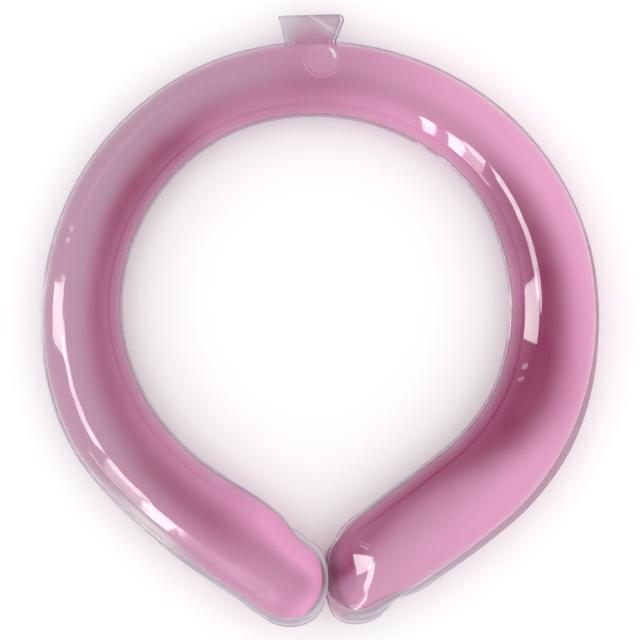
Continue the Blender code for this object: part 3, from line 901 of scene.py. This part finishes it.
MOUND_SIDES = 0.35  # height of the gel's mound at its sides, as a share of the middle's
MOUND_TOP = 2.5  # the mound gets lower over its width divided by this


def gel_with_mound(loop, reach, height, tab):
    """The gel's reaches with the mound that rises into the tab's channel. It falls off along the ring and up
    and down as soft hills, and gets slimmer towards its sides."""
    along = along_from_tab(loop, tab)
    slim = MOUND_SIDES + (1 - MOUND_SIDES) * hill(along / (tab.gel_width / MOUND_TOP))
    mound = hill(along / (tab.gel_width / 2)) * hill((height / (tab.gel_height / 2 * slim)) ** 2)
    return reach + tab.gel_reach * mound * soft_step("mound", loop.across(reach))


def gel_looks(loop, reach, plain_reach, tab):
    """What the gel's material reads, for the gel's rows: its painted shade and painted light. The painted
    dark band is a soft hill across the tube, the painted light of the window's side and the painted glow step
    up towards the outer edge, and the inner painted glow towards the inner edge. A thin streak on the upper
    left, the left tip's rim and the wall at the tab get painted glow too."""
    bearing = np.degrees(loop.bearing)
    place = loop.across(plain_reach)
    tone = {name: curved(TONES, name, loop.bearing) for name in TONES}
    painted_glow_left_tip = soft_step("left tip", -bearing) * soft_step("half turned right", loop.facing[:, 0])
    # Painted light on the outer wall by the tab, lifting the shade there
    painted_light_by_tab = hill(along_from_tab(loop, tab) / tab.gel_width)
    return {
        "dark": tone["dark"] * hill((place - tone["place"]) / tone["spread"]),
        "haze": tone["haze"] * soft_step("haze", place),
        "glow": tone["glow"] * soft_step("glow", place)
        + tone["inner"] * soft_step("inner glow", -place)
        + soft_hill("streak by place", place) * soft_hill("streak by bearing", bearing)
        + painted_glow_left_tip * soft_step("tip's rim", reach / loop.width)
        + painted_light_by_tab * soft_step("outer wall", place),
    }


class COOLING_OT_gel(bpy.types.Operator):
    """Build the pink gel with its mound in the tab's channel and the dimple's hollow"""

    bl_idname = "cooling.gel"
    bl_label = "Pink gel"

    def execute(self, context):
        sizes, tab = tube_of(context), tab_of(context)
        loop = Loop(sizes)
        plain_reach, height = gel_profile(loop)
        reach = gel_with_mound(loop, plain_reach, height, tab)
        rows = loop.surface(reach, height, sizes.gel_gap, sizes.tip_ease) + loop.settle()
        rows = dimpled(rows, height, tab, 0)
        gel = gel_material(context.scene.finishes, tab)
        core = make_piece("gel", *closed_grid(loop, rows), gel, ["gel_core"], "pink_gel")
        store_looks(core, welded(loop, gel_looks(loop, reach, plain_reach, tab)), 1)
        return {"FINISHED"}


CHANNEL_END = 0.35  # width of the filling channel at its end, as a share of its width at the ring
SIDE_FILM = 0.2  # thickness of the tab at its very sides, as a share of its middle's
TAB_VEIL = 1.05  # veil of the tab's film, where 1 is that of empty film
# The tab's streak of painted highlight: how far left of the middle it ends, how far it goes to the right by
# the tab's base, its half width at the end and how much that grows. The rose film's slant, its roundness and
# the base's rose
STREAK_START, STREAK_SLANT, STREAK_WIDTH, STREAK_GROWTH = 0.05, 1.6, 0.06, 0.2
ROSE_SLANT, ROSE_ROUND, ROSE_BASE = 0.4, 0.3, 0.45


class Tab:
    """Faces of the tab as rows from the ring to its end. The half width grows by a power of the share of the
    length. The right side is drawn in by a soft hill and then stands out by a soft step, and its corner is a
    quarter circle. Each face rises by half the film, a tapering channel with a parabola's section, and a
    rolled rim along the sides."""

    def __init__(self, loop, tab):
        sizes = loop.sizes
        at = np.array([tab.bearing])
        wall = sizes.ring_radius * section("reach", at)[0] + sizes.tube_width / 2 * section("outer", at)[0]
        lip = sizes.lip_width * straight(LIPS, "outer", at)[0]
        root, end = wall - sizes.lip_thickness, wall + lip + tab.reach
        across = np.sin(np.linspace(-math.pi / 2, math.pi / 2, tab.steps_across + 1))
        share = np.linspace(0, 1, tab.steps_along + 1)[:, None]
        growth = (tab.end_width - tab.neck_width) / 2
        half = tab.neck_width / 2 + growth * share**tab.flare
        short = np.clip((share - 1) * (end - root) + tab.corner, 0, None)
        cut = tab.corner - np.sqrt(np.clip(tab.corner**2 - short**2, 0, None))
        side = tab.spread * soft_step("tab's upper part", share)
        side = side - tab.waist * soft_hill("tab's waist", share)
        x = across * half + (side - cut) * soft_step("tab's right side", across)
        taper = np.clip(1 - share / tab.channel_reach, 0, 1)
        channel = tab.channel_width / 2 * (CHANNEL_END + (1 - CHANNEL_END) * taper)
        rim = hill((half * (1 - abs(across)) - tab.rim_width / 2) / (tab.rim_width / 2))
        closing = np.sqrt(np.clip(1 - across**2, 0, 1))
        self.across, self.share, self.x = across, share, x
        self.y = np.sqrt(root**2 - x**2) * (1 - share) + end * share
        self.rise = (
            tab.film / 2 * (SIDE_FILM + (1 - SIDE_FILM) * closing)
            + tab.rim_rise * rim
            + tab.channel_height / 2 * taper * np.clip(1 - (x / channel) ** 2, 0, 1)
        )
        self.from_side = half * (1 - abs(across)) / tab.rim_width
        self.at = at

    def both_faces(self):
        """Rows that run along the upper face and back along the lower one."""
        top = np.stack([self.x, self.y, self.rise], axis=-1)
        bottom = np.stack([self.x, self.y, -self.rise], axis=-1)[:, ::-1]
        return np.concatenate([top, bottom], axis=1)

    def looks(self):
        """What the film's material reads, for both faces. Grey lines run inside the sides and the end, and a
        bright line of painted highlight inside the right side. A streak of painted highlight runs from the
        end down to the right, and painted light whitens the upper left corner. The film is rose towards its
        base and grey on its left."""
        across, share, from_side = self.across, self.share, self.from_side
        down = 1 - share
        right = soft_step("tab's right look", across)
        streak = (across + STREAK_START - STREAK_SLANT * down) / (STREAK_WIDTH + STREAK_GROWTH * down)
        looks = {
            "empty": TAB_VEIL + 0 * self.x,
            "edge": soft_hill("tab's side line", from_side)
            + right * soft_hill("tab's inner line", from_side)
            + soft_hill("tab's end", down),
            # Painted highlights: the streak, the upper left corner and the right side's bright line
            "painted_highlights": hill(streak) * soft_step("tab's streak", share)
            + soft_step("tab's corner", (share - across) / 2)
            + right * soft_hill("tab's bright line", from_side),
            "rose": soft_step("tab's rose film", across - ROSE_SLANT * (share - 0.5))
            + ROSE_BASE * (1 - soft_step("tab's grey film", share + ROSE_ROUND * across**2)),
            "matt": 0 * self.x,
        }
        return {name: np.concatenate([rows, rows[:, ::-1]], axis=1).ravel() for name, rows in looks.items()}


def closed_sleeve(rows):
    """Faces over rows that run there and back, with a strip of faces over each open end."""
    count, size = rows.shape[:2]
    index = np.arange(count * size).reshape(count, size)
    after = np.roll(index, -1, axis=1)
    sides = np.stack([index[:-1], index[1:], after[1:], after[:-1]], axis=-1).reshape(-1, 4)
    there, back = index[:, : size // 2], index[:, ::-1][:, : size // 2]
    ends = [
        np.stack([there[k, :-1], there[k, 1:], back[k, 1:], back[k, :-1]], axis=-1)[:, ::way]
        for k, way in ((0, 1), (-1, -1))
    ]
    return np.concatenate([sides, *ends])[:, ::-1].tolist()


class COOLING_OT_tab(bpy.types.Operator):
    """Build the flared filling tab with its channel and rolled rims"""

    bl_idname = "cooling.tab"
    bl_label = "Filling tab"

    def execute(self, context):
        sizes, tab = tube_of(context), tab_of(context)
        loop = Loop(sizes)
        made = Tab(loop, tab)
        rows = made.both_faces()
        place = (*loop.settle()[:2], seam_height(sizes, made.at)[0])
        turn = np.array(Matrix.Translation(place) @ Matrix.Rotation(-tab.bearing, 4, "Z"))
        points = rows.reshape(-1, 3) @ turn[:3, :3].T + turn[:3, 3]
        film = bpy.data.materials["tube_film"]
        nodes = ["upper_film", "lower_film"]
        piece = make_piece("filling_tab", points, closed_sleeve(rows), film, nodes, "clear_film")
        store_looks(piece, made.looks(), MOST_LOOK)
        return {"FINISHED"}


# The window's panes by their azimuth and elevation seen from the ring, and their angular sizes, in degrees,
# with the light they give as a multiple of white
PANE_COLUMNS = ("azimuth", "elevation", "width", "height", "light")
PANES = (
    (-148.3, 24, 3.4, 38, 14),
    (-139.2, 24, 5.8, 38, 14),
    (-131, 42, 9, 14, 12),
    (-132, 24, 9, 22, 5),
    (-105, 44.5, 34, 13, 12),
    (-131, 7, 18, 8, 5),
    (-87, 23, 13, 40, 12),
    (-73, 22, 1.6, 16, 5),
    (-69, 22, 1.0, 16, 5),
)
PANE_DISTANCE = 3.0


def sky(strength):
    shader = Shader(bpy.data.worlds.new("soft_sky"))
    light = shader.value("ShaderNodeBackground", Color=(1, 1, 1, 1), Strength=strength)
    bpy.context.scene.world = shader.done(light, "ShaderNodeOutputWorld")


def pane(number, azimuth, elevation, width, height, light):
    """A lit pane of the window, as an area lamp that faces the ring. Its power is the light times pi and the
    lamp's area."""
    a, e = math.radians(azimuth), math.radians(elevation)
    position = Vector((math.sin(a) * math.cos(e), math.cos(a) * math.cos(e), math.sin(e))) * PANE_DISTANCE
    turn = (-position).to_track_quat("-Z", "Y").to_matrix().to_4x4()
    lamp = bpy.data.lights.new(f"pane_{number}", "AREA")
    lamp.shape = "RECTANGLE"
    lamp.size = 2 * PANE_DISTANCE * math.tan(math.radians(width) / 2) * math.cos(e)
    lamp.size_y = 2 * PANE_DISTANCE * math.tan(math.radians(height) / 2)
    lamp.energy = light * math.pi * lamp.size * lamp.size_y
    obj = linked(lamp.name, lamp)
    obj.matrix_world = Matrix.Translation(position) @ turn
    obj.visible_diffuse = False


class COOLING_OT_stage(bpy.types.Operator):
    """Build the floor, the camera and the lights"""

    bl_idname = "cooling.stage"
    bl_label = "Floor, camera and lights"

    def execute(self, context):
        stage = context.scene.stage_settings
        half = stage.floor_size / 2
        mesh = bpy.data.meshes.new("floor")
        corners = [(-half, -half, 0), (half, -half, 0), (half, half, 0), (-half, half, 0)]
        mesh.from_pydata(corners, [], [(0, 1, 2, 3)])
        mesh.materials.append(floor_material(stage.floor))
        linked("floor", mesh)
        seam = tube_of(context).tube_height / 2
        camera = bpy.data.cameras.new("camera")
        camera.sensor_width = 36
        camera.lens = camera.sensor_width * (stage.camera_height - seam) / stage.view_width
        context.scene.camera = linked("camera", camera)
        context.scene.camera.matrix_world = Matrix.Translation((0, 0, stage.camera_height))
        sky(stage.sky)
        for number, row in enumerate(PANES):
            pane(number, **dict(zip(PANE_COLUMNS, row)))
        context.scene.view_settings.view_transform = "Standard"
        return {"FINISHED"}


class COOLING_PT_panel(bpy.types.Panel):
    """Sizes and steps of the neck cooling tube"""

    bl_idname = "COOLING_PT_panel"
    bl_label = "Neck cooling tube"
    bl_space_type = "VIEW_3D"
    bl_region_type = "UI"
    bl_category = "Cooling tube"

    def draw(self, context):
        for name in SETTINGS:
            box = self.layout.box()
            group = getattr(context.scene, name)
            for key in group.bl_rna.properties.keys():
                if key not in ("rna_type", "name"):
                    box.prop(group, key, text=key.replace("_", " ").capitalize())
        for operator in OPERATORS:
            self.layout.operator(operator.bl_idname)


SETTINGS = {
    "tube_sizes": TubeSizes,
    "tab_sizes": TabSizes,
    "finishes": Finishes,
    "stage_settings": StageSettings,
}
OPERATORS = (COOLING_OT_stage, COOLING_OT_skin, COOLING_OT_gel, COOLING_OT_tab)


def register():
    for made in (*SETTINGS.values(), *OPERATORS, COOLING_PT_panel):
        bpy.utils.register_class(made)
    for name, group in SETTINGS.items():
        setattr(bpy.types.Scene, name, bpy.props.PointerProperty(type=group))


def unregister():
    for name in SETTINGS:
        delattr(bpy.types.Scene, name)
    for made in (COOLING_PT_panel, *OPERATORS[::-1], *SETTINGS.values()):
        bpy.utils.unregister_class(made)


def main():
    """Builds everything."""
    register()
    bpy.ops.cooling.stage()
    bpy.ops.cooling.skin()
    bpy.ops.cooling.gel()
    bpy.ops.cooling.tab()


if __name__ == "__main__":
    main()
